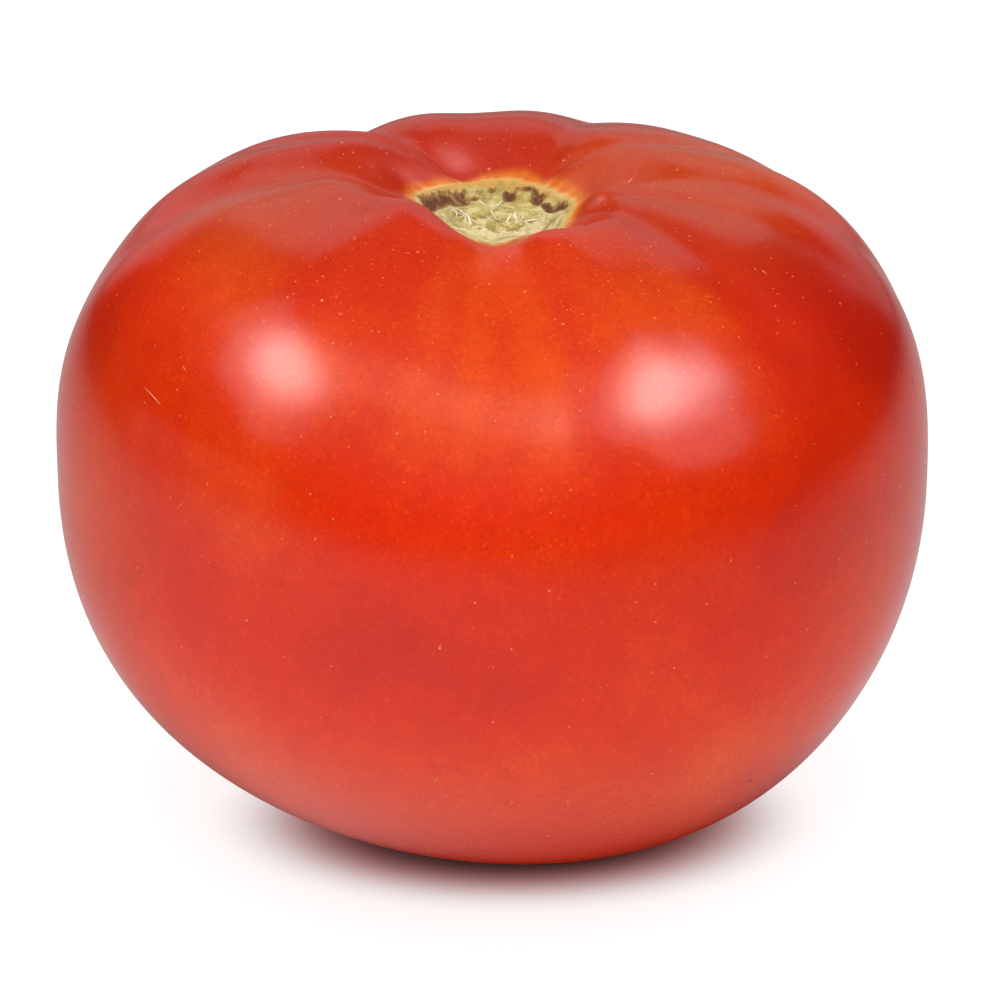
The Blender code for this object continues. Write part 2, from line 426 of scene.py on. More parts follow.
class Graph:
    """Short calls for the nodes of one material or world."""

    def __init__(self, tree):
        self.tree = tree

    def set(self, socket, value):
        if isinstance(value, bpy.types.NodeSocket):
            self.tree.links.new(value, socket)
        elif value is not None:
            socket.default_value = value

    def node(self, kind, settings=None, **inputs):
        made = self.tree.nodes.new(kind)
        for key, value in (settings or {}).items():
            setattr(made, key, value)
        for key, value in inputs.items():
            self.set(made.inputs[key.replace("_", " ")], value)
        return made

    def math(self, operation, a, b=None, c=None):
        made = self.tree.nodes.new("ShaderNodeMath")
        made.operation = operation
        for socket, value in zip(made.inputs, (a, b, c)):
            self.set(socket, value)
        return made.outputs[0]

    def mix(self, factor, a, b):
        made = self.tree.nodes.new("ShaderNodeMix")
        made.data_type = "RGBA"
        made.clamp_factor = True
        self.set(made.inputs[0], factor)
        self.set(made.inputs[6], a)
        self.set(made.inputs[7], b)
        return made.outputs[2]

    def between(self, value, low, high, to_low=0.0, to_high=1.0):
        """Smooth step from to_low to to_high as the value goes from low to high."""
        made = self.node("ShaderNodeMapRange", {"interpolation_type": "SMOOTHSTEP"})
        for socket, given in zip(made.inputs, (value, low, high, to_low, to_high)):
            self.set(socket, given)
        return made.outputs[0]

    def noise(self, where, scale, detail=2.0, rough=0.5, distortion=0.0):
        made = self.node("ShaderNodeTexNoise", None, Vector=where, Scale=scale, Detail=detail)
        made.inputs["Roughness"].default_value = rough
        made.inputs["Distortion"].default_value = distortion
        return made.outputs["Fac"]

    def attribute(self, name):
        return self.node("ShaderNodeAttribute", {"attribute_name": name}).outputs["Fac"]


def new_material(name):
    material = bpy.data.materials.new(name)
    material.use_nodes = True
    return material, Graph(material.node_tree), material.node_tree.nodes["Principled BSDF"]


def skin_material():
    material, g, shader = new_material("tomato_skin")
    where = g.node("ShaderNodeTexCoord").outputs["Object"]
    warm = g.attribute("warm")
    crown = g.attribute("crown")
    edge = g.attribute("edge")
    stripe = g.attribute("stripe")

    # Broad ripening from crimson to orange red
    broad = g.math("SUBTRACT", g.noise(where, 62.0, 2.0, 0.5), 0.5)
    ripe = g.math("ADD", g.math("MULTIPLY", broad, 1.1), warm)
    ripe = g.math("ADD", ripe, g.math("MULTIPLY", stripe, 0.22))
    colour = g.mix(g.between(ripe, -0.65, 0.05), CRIMSON, RED)
    colour = g.mix(g.between(ripe, -0.05, 0.75), colour, ORANGE)
    # Deeper crimson on the shoulders, and painted shade under the belly
    colour = g.mix(g.attribute("crimson_and_shade"), colour, DEEP_CRIMSON_AND_SHADE)
    # Paler where the skin is seen at a slant: painted sheen
    colour = g.mix(g.math("MULTIPLY", g.attribute("painted_sheen"), PAINTED_SHEEN_AMOUNT), colour, PAINTED_SHEEN_TINT)
    colour = g.mix(g.attribute("pure"), colour, PUREST)

    # Cells just under the skin: fine golden and dark grain
    grain = g.noise(where, 2600.0, 2.0, 0.6)
    golden = g.math("MULTIPLY", g.between(grain, 0.56, 0.72), g.between(ripe, -0.3, 0.6, 0.10, 0.34))
    colour = g.mix(golden, colour, GOLDEN_CELL)
    dark = g.between(grain, 0.30, 0.46, 0.22, 0.0)
    colour = g.mix(dark, colour, DARK_CELL)
    patch = g.noise(where, 420.0, 3.0, 0.6)
    colour = g.mix(g.between(patch, 0.35, 0.62, 0.16, 0.0), colour, DARK_PATCH)

    # Pale flecks: fewer and larger on the sides, many on the shoulders and in the bowl
    def flecks(scale, radius, share_low, share_high):
        cells = g.node("ShaderNodeTexVoronoi", None, Vector=where, Scale=scale)
        tone = g.node("ShaderNodeSeparateColor", None, Color=cells.outputs["Color"])
        size = g.math("MULTIPLY", radius, g.math("MULTIPLY_ADD", tone.outputs[1], 0.7, 0.5))
        dot = g.between(g.math("DIVIDE", cells.outputs["Distance"], size), 0.5, 1.0, 1.0, 0.0)
        share = g.math("MULTIPLY_ADD", crown, share_high - share_low, share_low)
        kept = g.math("MULTIPLY", dot, g.math("LESS_THAN", tone.outputs[0], share))
        return g.math("MULTIPLY", kept, g.math("MULTIPLY_ADD", tone.outputs[2], 0.5, 0.5))

    pale = g.math("MAXIMUM", flecks(620.0, 0.10, 0.22, 0.95), flecks(1150.0, 0.13, 0.10, 0.85))
    colour = g.mix(g.math("MULTIPLY", pale, FLECK_AMOUNT), colour, FLECK)

    # Halo round the scar, with streaks that run outward
    streaks = g.attribute("streak")
    halo = g.math("MULTIPLY", g.between(edge, 0.0, 1.0), g.math("MULTIPLY_ADD", streaks, 0.45, 0.50))
    colour = g.mix(halo, colour, HALO)
    straw = g.between(g.math("ADD", edge, g.math("MULTIPLY", streaks, 0.12)), 0.86, 1.10)
    colour = g.mix(straw, colour, STRAW)
    g.set(shader.inputs["Base Color"], colour)

    # A waxy gloss, duller on the inner walls of the bowl and on the straw edge
    uneven = g.noise(where, 900.0, 3.0, 0.6)
    rough = g.math("MULTIPLY_ADD", uneven, SKIN_ROUGHNESS_RANGE, SKIN_ROUGHNESS)
    rough = g.math("MULTIPLY_ADD", g.attribute("satin"), SATIN_ROUGHNESS, rough)
    rough = g.math("ADD", rough, g.math("MULTIPLY", straw, STRAW_ROUGHNESS))
    g.set(shader.inputs["Roughness"], rough)
    shader.inputs["IOR"].default_value = SKIN_IOR
    shader.inputs["Subsurface Weight"].default_value = 0.12
    shader.inputs["Subsurface Radius"].default_value = (1.0, 0.22, 0.08)
    shader.inputs["Subsurface Scale"].default_value = 0.003

    peel = g.noise(where, 1500.0, 2.0, 0.5)
    height = g.math("MULTIPLY_ADD", pale, 0.5, peel)
    relief = g.node("ShaderNodeBump", None, Height=height)
    relief.inputs["Strength"].default_value = 1.0
    relief.inputs["Distance"].default_value = 0.000006
    g.set(shader.inputs["Normal"], relief.outputs[0])
    return material


def cork_material():
    material, g, shader = new_material("stem_cork")
    where = g.node("ShaderNodeTexCoord").outputs["Object"]
    pit = g.attribute("pit")
    cream = g.attribute("cream")
    fibre = g.attribute("fibre")
    side = g.attribute("side")
    rim = g.attribute("rim")

    lumps = g.noise(where, 800.0, 3.0, 0.6, 0.4)
    colour = g.mix(g.between(lumps, 0.34, 0.60), CORK_DARK, CORK_LIGHT)
    colour = g.mix(g.math("MULTIPLY", side, 0.8), colour, CORK_SIDE)
    colour = g.mix(g.math("MULTIPLY", cream, 0.85), colour, CORK_CREAM)
    colour = g.mix(g.between(fibre, 0.50, 0.85, 0.0, 0.65), colour, CORK_STRAND)
    # Dark in the grooves between the strands: painted shade
    colour = g.mix(g.between(fibre, 0.12, 0.46, 0.62, 0.0), colour, CORK_GROOVE_SHADE)
    fine = g.noise(where, 2400.0, 3.0, 0.65)
    colour = g.mix(g.between(fine, 0.30, 0.48, 0.45, 0.0), colour, CORK_GRAIN_DARK)
    colour = g.mix(g.between(fine, 0.56, 0.72, 0.0, 0.35), colour, CORK_GRAIN_LIGHT)
    gold = g.math("MULTIPLY", rim, g.between(lumps, 0.35, 0.55, 0.5, 0.95))
    colour = g.mix(gold, colour, CORK_GOLD)
    ragged = g.math("ADD", pit, g.math("MULTIPLY", g.math("SUBTRACT", fine, 0.5), 0.9))
    colour = g.mix(g.between(ragged, 0.16, 0.52, 0.0, 0.85), colour, PIT_EDGE)
    colour = g.mix(g.between(ragged, 0.50, 0.95, 0.0, 0.90), colour, PIT_DARK)
    g.set(shader.inputs["Base Color"], colour)
    g.set(shader.inputs["Roughness"], g.between(lumps, 0.3, 0.7, 0.85, 0.62))
    shader.inputs["Specular IOR Level"].default_value = 0.10

    height = g.math("MULTIPLY_ADD", fibre, 0.5, g.noise(where, 3200.0, 4.0, 0.7))
    relief = g.node("ShaderNodeBump", None, Height=height)
    relief.inputs["Strength"].default_value = 1.0
    relief.inputs["Distance"].default_value = 0.00010
    g.set(shader.inputs["Normal"], relief.outputs[0])
    return material


def fibre_material():
    material, g, shader = new_material("torn_fibre")
    where = g.node("ShaderNodeTexCoord").outputs["Object"]
    tone = g.noise(where, 1800.0, 2.0, 0.6)
    colour = g.mix(g.between(tone, 0.35, 0.65), FIBRE_DARK, FIBRE_LIGHT)
    g.set(shader.inputs["Base Color"], colour)
    g.set(shader.inputs["Roughness"], g.between(tone, 0.3, 0.7, 0.62, 0.48))
    relief = g.node("ShaderNodeBump", None, Height=g.noise(where, 9000.0, 2.0, 0.6))
    relief.inputs["Strength"].default_value = 1.0
    relief.inputs["Distance"].default_value = 0.00002
    g.set(shader.inputs["Normal"], relief.outputs[0])
    return material


def box_shift():
    """How far the middle of the box is from the formula's axis. The solid is moved by it too."""
    azimuth = np.arange(BOX_AROUND) * 360.0 / BOX_AROUND
    crown_latitude = latitude_at(CROWN_RADIUS, UPPER_POWER, 1.0)
    side = np.linspace(foot_latitude(), crown_latitude, BOX_SIDE_RINGS)
    points = np.concatenate([surface(azimuth, np.full(BOX_AROUND, latitude)) for latitude in side])
    middle = (points.min(axis=0) + points.max(axis=0)) / 2.0
    return middle * np.array([1.0, 1.0, 0.0])


def zones(azimuth, z, rows):
    """Sum of soft patches of the skin."""
    total = 0.0
    for at, height, spread, tall, amount in rows:
        total = total + amount * bump(azimuth, at, spread) * np.exp(-(((z - height) / tall) ** 2))
    return total


def build_fruit(shift):
    azimuth = np.arange(AROUND) * 360.0 / AROUND
    latitudes = skin_latitudes()
    seat_radii = np.linspace(SCAR_RADIUS, 0.0, SEAT_RINGS + 2)[1:-1]
    latitudes = np.concatenate([latitudes, latitude_at(seat_radii, UPPER_POWER, 1.0)])
    rings = [surface(azimuth, np.full(AROUND, latitude)) for latitude in latitudes]
    nominal = [float(profile(np.array([latitude]))[0][0]) for latitude in latitudes]
    for i, radius in enumerate(nominal):
        if latitudes[i] > 0.0:
            inside = smooth((1.0 - radius / SCAR_RADIUS) / 0.06)
            rings[i][:, 2] -= SEAT_DROP * inside
    foot = rings[0]
    centre = foot.mean(axis=0)
    inner = []
    for k in range(1, FOOT_RINGS + 1):
        t = 1.0 - k / (FOOT_RINGS + 1.0)
        ring = centre + (foot - centre) * t
        ring[:, 2] += FOOT_HOLLOW * smooth((FOOT_HOLLOW_SHARE - t) / FOOT_HOLLOW_SHARE)
        inner.append(ring)
    rings = inner[::-1] + rings
    latitudes = np.concatenate([np.full(FOOT_RINGS, latitudes[0]), latitudes])
    nominal = [float(profile(np.array([latitude]))[0][0]) for latitude in latitudes]

    points = np.concatenate(rings)
    faces = grid_faces(len(rings), AROUND)
    bottom = len(points)
    low = centre + np.array([0.0, 0.0, FOOT_HOLLOW])
    high = surface(np.zeros(1), np.full(1, np.pi / 2.0))[0] - np.array([0.0, 0.0, SEAT_DROP])
    points = np.concatenate([points, [low, high]])
    last = (len(rings) - 1) * AROUND
    for i in range(AROUND):
        j = (i + 1) % AROUND
        faces.append((bottom, j, i))
        faces.append((last + i, last + j, bottom + 1))
    fruit = new_piece("fruit", points - shift, faces, skin_material())
    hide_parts("tomato")

    az = np.concatenate([np.tile(azimuth, len(rings)), [0.0, 0.0]])
    lat = np.concatenate([np.repeat(latitudes, AROUND), [-np.pi / 2.0, np.pi / 2.0]])
    radius = np.concatenate([np.repeat(nominal, AROUND), [0.0, 0.0]])
    z = points[:, 2]
    s = np.sin(lat)
    paint(fruit, "warm", zones(az, z, ZONES))
    # Painted sheen on the slanting parts of the skin
    paint(fruit, "painted_sheen", np.clip(zones(az, z, PAINTED_SHEEN_PATCHES), 0.0, 1.5))
    paint(fruit, "pure", np.clip(zones(az, z, PURE), 0.0, 0.9))
    stripe = 0.0
    for at, strength, spread in STRIPES:
        stripe = stripe + strength * bump(az, at, spread)
    paint(fruit, "stripe", stripe * smooth((s - 0.25) / 0.3) * smooth((0.97 - s) / 0.12))
    paint(fruit, "crown", smooth((s - 0.45) / 0.5) * (s > 0.0))
    front = bump(az, 271.0, 42.0) * (s < 0.97)
    crimson_and_shade = 0.85 * smooth((s - 0.66) / 0.26) * (1.0 - 0.75 * front)
    # Darker under the belly, where little light falls: painted shade
    crimson_and_shade = crimson_and_shade + 0.60 * smooth((0.026 - z) / 0.018)
    paint(fruit, "crimson_and_shade", np.clip(crimson_and_shade, 0.0, 0.9))
    out = radius / SCAR_RADIUS - 1.0
    widen = 1.0 + 0.4 * bump(az, 60.0, 30.0) - 0.25 * bump(az, 160.0, 30.0)
    widen = widen - 0.55 * bump(az, 270.0, 65.0)
    paint(fruit, "edge", np.where(s > 0.0, 1.0 - smooth(out / (0.30 * widen)), 0.0))
    satin = 0.15 + bump(az, 118.0, 24.0) + bump(az, 14.0, 24.0)
    paint(fruit, "satin", satin * smooth((0.0185 - radius) / 0.006) * (s > 0.0))
    turned = np.radians(az)
    around = np.stack([np.cos(turned) * 1.6, np.sin(turned) * 1.6, out * 0.5], axis=-1)
    paint(fruit, "streak", 0.5 + noise_at(around, 0.12, 3))


def oval_mark(azimuth, radius, mark):
    """1 in the middle of a mark of the scar, falling to 0 round it."""
    at, distance, half_length, half_width, amount = mark
    along = distance * turn(azimuth - at) / half_length
    across = (radius - distance) / half_width
    return amount * np.exp(-((along * along + across * across) ** 1.3))


def build_cork(shift):
    """The corky scar: a closed cap with strands round its wall, a torn ledge in front and brown pits."""
    around = np.arange(CORK_AROUND) * 360.0 / CORK_AROUND
    shares = np.linspace(CORK_REACH, 0.0, CORK_RINGS + 1)[:-1]
    tops = []
    for share in shares:
        latitude = latitude_at(SCAR_RADIUS * share, UPPER_POWER, 1.0)
        tops.append(surface(around, np.full(CORK_AROUND, latitude)))
    points = np.concatenate(tops)
    az = np.tile(around, CORK_RINGS)
    q = np.repeat(shares, CORK_AROUND)
    flat = points * np.array([1.0, 1.0, 0.0])
    turned = np.stack([np.cos(np.radians(az)), np.sin(np.radians(az))], axis=-1)
    strands = noise_at(np.column_stack([turned * 1.4, q * 9.5]), 1.0, 11, 3)
    spokes = noise_at(np.column_stack([turned * 5.5, q * 0.8]), 1.0, 12, 2)
    lump = noise_at(flat, 0.0012, 5, 3)
    crumb = noise_at(flat, 0.00042, 6, 2)
    inside = smooth((1.01 - q) / 0.07)
    wall = smooth((q - 0.42) / 0.2)
    back = bump(az, 90.0, 75.0)
    front = bump(az, 275.0, 56.0)
    torn = 0.49 + 0.09 * noise_at(np.column_stack([turned * 3.2, q * 0.0]), 1.0, 21, 3)
    ledge = smooth((q - torn) / 0.035) * smooth(front * 1.8)
    fibre = strands * wall * (1.0 - 0.6 * back) + spokes * wall * back * 0.8 + lump * (1.0 - wall)
    fibre = 0.5 + 0.62 * fibre
    height = STRAND_HEIGHT * strands * wall * (1.0 - 0.5 * back) + SPOKE_HEIGHT * spokes * wall * back
    height = height + LUMP_HEIGHT * lump * (1.0 - 0.6 * wall) + CRUMB_HEIGHT * crumb
    height = height + LEDGE_HEIGHT * ledge * smooth((1.02 - q) / 0.25)
    points[:, 2] += height * inside
    points[:, 2] -= CORK_EDGE_DROP * smooth((q - 0.985) / (CORK_REACH - 0.985))

    radius = SCAR_RADIUS * q
    pit = -0.55 * oval_mark(az, radius, PIT_CORE)
    for mark in BROWN_PITS:
        pit = pit + oval_mark(az, radius, mark)
    pit = pit + 0.30 * (crumb + lump) * smooth(pit * 3.0)
    side = smooth(bump(az, 172.0, 40.0) * 1.5) * wall + 0.5 * bump(az, 345.0, 25.0) * wall
    cream = np.clip(ledge + 0.35 * strands * ledge, 0.0, 1.0)
    rim = smooth((q - 0.84) / 0.11) * (0.30 + 0.70 * back)

    under = tops[0].copy()
    under[:, 2] -= CORK_EDGE_DROP + CORK_THICKNESS
    faces = grid_faces(CORK_RINGS, CORK_AROUND)
    centre_top = surface(np.zeros(1), np.full(1, np.pi / 2.0))[0]
    base = len(points)
    points = np.concatenate([points, under, [centre_top, under.mean(axis=0)]])
    last = (CORK_RINGS - 1) * CORK_AROUND
    top_at, low_at = base + CORK_AROUND, base + CORK_AROUND + 1
    for i in range(CORK_AROUND):
        j = (i + 1) % CORK_AROUND
        faces.append((last + i, last + j, top_at))
        faces.append((base + i, base + j, j, i))
        faces.append((base + j, base + i, low_at))
    cork = new_piece("scar_cork", points - shift, faces, cork_material())
    rest = CORK_AROUND + 2
    for name, values, other in (
        ("pit", pit, 0.0),
        ("cream", cream, 0.0),
        ("fibre", fibre, 0.5),
        ("side", side, 0.0),
        ("rim", rim, 0.0),
    ):
        paint(cork, name, np.concatenate([values, np.full(rest, other)]))


# Torn fibres, in millimetres: root x and y, how far the tip lies in x, y and z, half width, bow to the side
FIBRES = (
    (-2.1, -1.9, -0.75, 1.05, 0.85, 0.232, 0.25),
    (-1.3, -2.0, -0.85, 0.75, 0.4, 0.109, -0.2),
    (-2.6, -1.2, -0.3, 1.5, 0.3, 0.093, 0.15),
    (0.45, -1.45, -0.5, 1.05, 1.0, 0.139, -0.3),
    (0.5, -1.4, 0.2, -0.8, 0.25, 0.093, 0.1),
    (1.25, -1.7, 0.45, 0.8, 0.6, 0.139, 0.2),
    (2.4, -1.75, -0.25, 0.85, 0.95, 0.186, -0.15),
    (2.3, -1.65, -0.75, 0.7, 0.75, 0.109, 0.15),
    (2.45, -1.6, 0.55, 0.8, 0.7, 0.124, 0.2),
    (2.5, -1.8, 0.1, -0.9, 0.2, 0.109, -0.15),
    (2.7, -1.2, 1.9, 0.6, 0.1, 0.186, 0.35),
    (1.6, -2.2, -0.6, -0.3, 0.45, 0.093, 0.2),
    (-3.9, 2.2, 0.5, -2.3, 0.15, 0.186, -0.2),
    (-3.4, 2.4, 0.7, -2.6, 0.2, 0.155, -0.15),
    (-3.1, 1.2, 0.6, -1.9, 0.25, 0.124, 0.2),
    (0.3, 2.6, 0.6, 1.3, 0.2, 0.124, 0.2),
    (-0.6, 3.2, -0.7, 0.9, 0.2, 0.109, -0.2),
    (3.6, -3.6, 1.1, 1.0, 0.12, 0.202, 0.2),
    (-0.4, -3.6, -1.5, 0.6, 0.15, 0.155, 0.25),
)
# In metres: step down and up again at the root, arch between root and tip, bow for a value of 1
FIBRE_ROOT = 0.0002
FIBRE_ARCH = 0.0006
FIBRE_BOW = 0.004
FIBRE_FLATNESS = 0.45


def on_scar(x, y):
    """The scar's surface point above x and y."""
    y = y / DEPTH_TO_WIDTH
    azimuth = math.degrees(math.atan2(y, x))
    wanted = math.hypot(x, y)
    radius = wanted
    for _ in range(4):
        point = surface(np.array([azimuth]), latitude_at(np.array([radius]), UPPER_POWER, 1.0))[0]
        radius *= wanted / math.hypot(point[0], point[1] / DEPTH_TO_WIDTH)
    return point


def build_fibres(shift):
    """Flat tapered strands, each bowed to one side."""
    sides, steps = 8, 12
    points, faces = [], []
    for x, y, dx, dy, dz, half_width, bow in FIBRES:
        root = Vector(on_scar(x / 1000.0, y / 1000.0) - shift) - Vector((0.0, 0.0, FIBRE_ROOT))
        reach = Vector((dx, dy, dz)) / 1000.0
        aside = reach.cross(Vector((0.0, 0.0, 1.0))).normalized()
        base = len(points)
        for k in range(steps + 1):
            t = k / steps
            place = root + reach * t + aside * (bow * FIBRE_BOW * t * (1.0 - t))
            place.z += FIBRE_ROOT + FIBRE_ARCH * t * (1.0 - t)
            forward = (reach + aside * (bow * FIBRE_BOW * (1.0 - 2.0 * t))).normalized()
            across = forward.cross(Vector((0.0, 0.0, 1.0))).normalized()
            over = across.cross(forward)
            ragged = 0.75 + 0.25 * math.cos(9.0 * t + 3.0 * x)
            wide = half_width / 1000.0 * (1.0 - 0.85 * t**1.6) * ragged
            for i in range(sides):
                a = 2.0 * math.pi * i / sides
                side = place + across * (math.cos(a) * wide)
                points.append(side + over * (math.sin(a) * wide * FIBRE_FLATNESS))
        for k in range(steps):
            for i in range(sides):
                j = (i + 1) % sides
                low = base + k * sides
                faces.append((low + i, low + j, low + sides + j, low + sides + i))
        faces.append(tuple(base + i for i in reversed(range(sides))))
        faces.append(tuple(base + steps * sides + i for i in range(sides)))
    new_piece("scar_fibres", points, faces, fibre_material())


# Small marks on the skin: azimuth and height of the middle, heading (0 level, 90 up), half length and
# half width, how dark
MARKS = (
    (217.2, 0.0529, -13.0, 0.00170, 0.00007, 0.15),
    (221.0, 0.0560, -20.0, 0.00045, 0.00006, 0.0),
    (196.5, 0.0467, 0.0, 0.00017, 0.00017, 1.0),
    (198.0, 0.0450, 90.0, 0.00050, 0.00007, 0.2),
    (312.0, 0.0145, 10.0, 0.00018, 0.00015, 1.0),
    (348.0, 0.0480, 30.0, 0.00017, 0.00014, 0.9),
    (262.0, 0.0205, 60.0, 0.00045, 0.00006, 0.1),
    (60.0, 0.0400, 25.0, 0.00110, 0.00008, 0.0),
    (115.0, 0.0300, 90.0, 0.00020, 0.00018, 1.0),
    (140.0, 0.0520, -50.0, 0.00070, 0.00007, 0.1),
    (20.0, 0.0260, 70.0, 0.00090, 0.00008, 0.1),
)
# The same on the top: azimuth and distance from the middle, heading, half length, half width, dark
TOP_MARKS = (
    (141.5, 0.0250, 20.0, 0.00017, 0.00020, 1.0),
    (1.5, 0.0131, 150.0, 0.00070, 0.00008, 0.0),
    (359.5, 0.0154, 150.0, 0.00060, 0.00007, 0.0),
)


def mark_material():
    material, g, shader = new_material("skin_marks")
    where = g.node("ShaderNodeTexCoord").outputs["Object"]
    tone = g.noise(where, 3000.0, 2.0, 0.6)
    pale = g.mix(g.between(tone, 0.35, 0.65), SCRATCH_DARK, SCRATCH_LIGHT)
    dark = g.mix(g.between(tone, 0.35, 0.65), SPECK_DARK, SPECK_LIGHT)
    g.set(shader.inputs["Base Color"], g.mix(g.attribute("dark"), pale, dark))
    g.set(shader.inputs["Roughness"], g.between(tone, 0.3, 0.7, 0.60, 0.45))
    return material


def build_marks(shift):
    """Healed scratches and dark specks, each a tiny flat dome on the skin."""
    sides = 16
    rows = []
    steps, rising = 600, 470
    latitudes = np.linspace(foot_latitude(), 1.45, steps)
    for azimuth, height, *rest in MARKS:
        z = surface(np.full(steps, azimuth), latitudes)[:, 2]
        rows.append((azimuth, float(np.interp(height, z[:rising], latitudes[:rising])), *rest))
    for azimuth, distance, *rest in TOP_MARKS:
        rows.append((azimuth, float(latitude_at(distance, UPPER_POWER, 1.0)), *rest))
    points, faces, darkness = [], [], []
    for azimuth, latitude, heading, length, width, dark in rows:
        turns = np.array([azimuth, azimuth + 0.2, azimuth])
        near = surface(turns, np.array([latitude, latitude, latitude + 0.003]))
        middle = Vector(near[0] - shift)
        level = Vector(near[1] - near[0]).normalized()
        up = Vector(near[2] - near[0]).normalized()
        out = level.cross(up).normalized()
        h = math.radians(heading)
        along = level * math.cos(h) + up * math.sin(h)
        across = out.cross(along)
        base = len(points)
        for share, lift in ((1.0, -0.5), (0.85, 0.35), (0.5, 0.8)):
            for i in range(sides):
                a = 2.0 * math.pi * i / sides
                wave = share * (1.0 + 0.12 * math.sin(3.0 * a + azimuth))
                side = along * (math.cos(a) * length * wave) + across * (math.sin(a) * width * wave)
                points.append(middle + side + out * (lift * MARK_HEIGHT))
        points.append(middle + out * MARK_HEIGHT)
        faces += grid_faces(3, sides, base)
        for i in range(sides):
            faces.append((base + 2 * sides + i, base + 2 * sides + (i + 1) % sides, base + 3 * sides))
        faces.append(tuple(base + i for i in reversed(range(sides))))
        darkness += [dark] * (3 * sides + 1)
    marks = new_piece("skin_marks", points, faces, mark_material())
    paint(marks, "dark", darkness)


def build_blossom_scar(shift):
    """The small corky dot of the blossom end, in the hollow of the foot, clear of the floor."""
    sides, rings = 48, 8
    middle_x = FOOT_MIDDLE_X - shift[0]
    points, faces = [], []
    for k in range(rings):
        t = 1.0 - k / rings
        for i in range(sides):
            a = 2.0 * math.pi * i / sides
            ragged = 1.0 + 0.18 * math.sin(5.0 * a) * t + 0.10 * math.sin(11.0 * a + 1.0) * t
            reach = BLOSSOM_RADIUS * t * ragged
            z = BLOSSOM_EDGE - 0.00024 * (1.0 - t**3) + 0.00005 * math.sin(7.0 * a) * t * (1.0 - t)
            points.append((middle_x + reach * math.cos(a), reach * math.sin(a), z))
    points.append((middle_x, 0.0, BLOSSOM_LOW))
    points.append((middle_x, 0.0, BLOSSOM_HIGH))
    low, high = len(points) - 2, len(points) - 1
    for k in range(rings - 1):
        for i in range(sides):
            j = (i + 1) % sides
            a, b = k * sides, (k + 1) * sides
            faces.append((a + i, b + i, b + j, a + j))
    for i in range(sides):
        j = (i + 1) % sides
        faces.append(((rings - 1) * sides + i, low, (rings - 1) * sides + j))
        faces.append((i, j, high))
    material, g, shader = new_material("blossom_cork")
    where = g.node("ShaderNodeTexCoord").outputs["Object"]
    tone = g.noise(where, 2200.0, 3.0, 0.6)
    g.set(shader.inputs["Base Color"], g.mix(tone, BLOSSOM_DARK, BLOSSOM_LIGHT))
    g.set(shader.inputs["Roughness"], g.between(tone, 0.3, 0.7, 0.9, 0.7))
    new_piece("blossom_scar", points, faces, material)


def disc(name, radius, rings, z, material):
    """A flat disc under the fruit."""
    around = 96
    points = [(0.0, 0.0, z)]
    faces = []
    for r in range(1, rings + 1):
        reach = radius * (r / rings) ** 1.5
        for i in range(around):
            a = 2.0 * math.pi * i / around
            points.append((reach * math.cos(a), reach * math.sin(a), z))
    for i in range(around):
        faces.append((0, 1 + i, 1 + (i + 1) % around))
    faces += grid_faces(rings, around, 1)
    data = bpy.data.meshes.new(name)
    data.from_pydata(points, [], faces)
    data.materials.append(material)
    flat = bpy.data.objects.new(name, data)
    bpy.context.scene.collection.objects.link(flat)
    return flat, np.array(points)


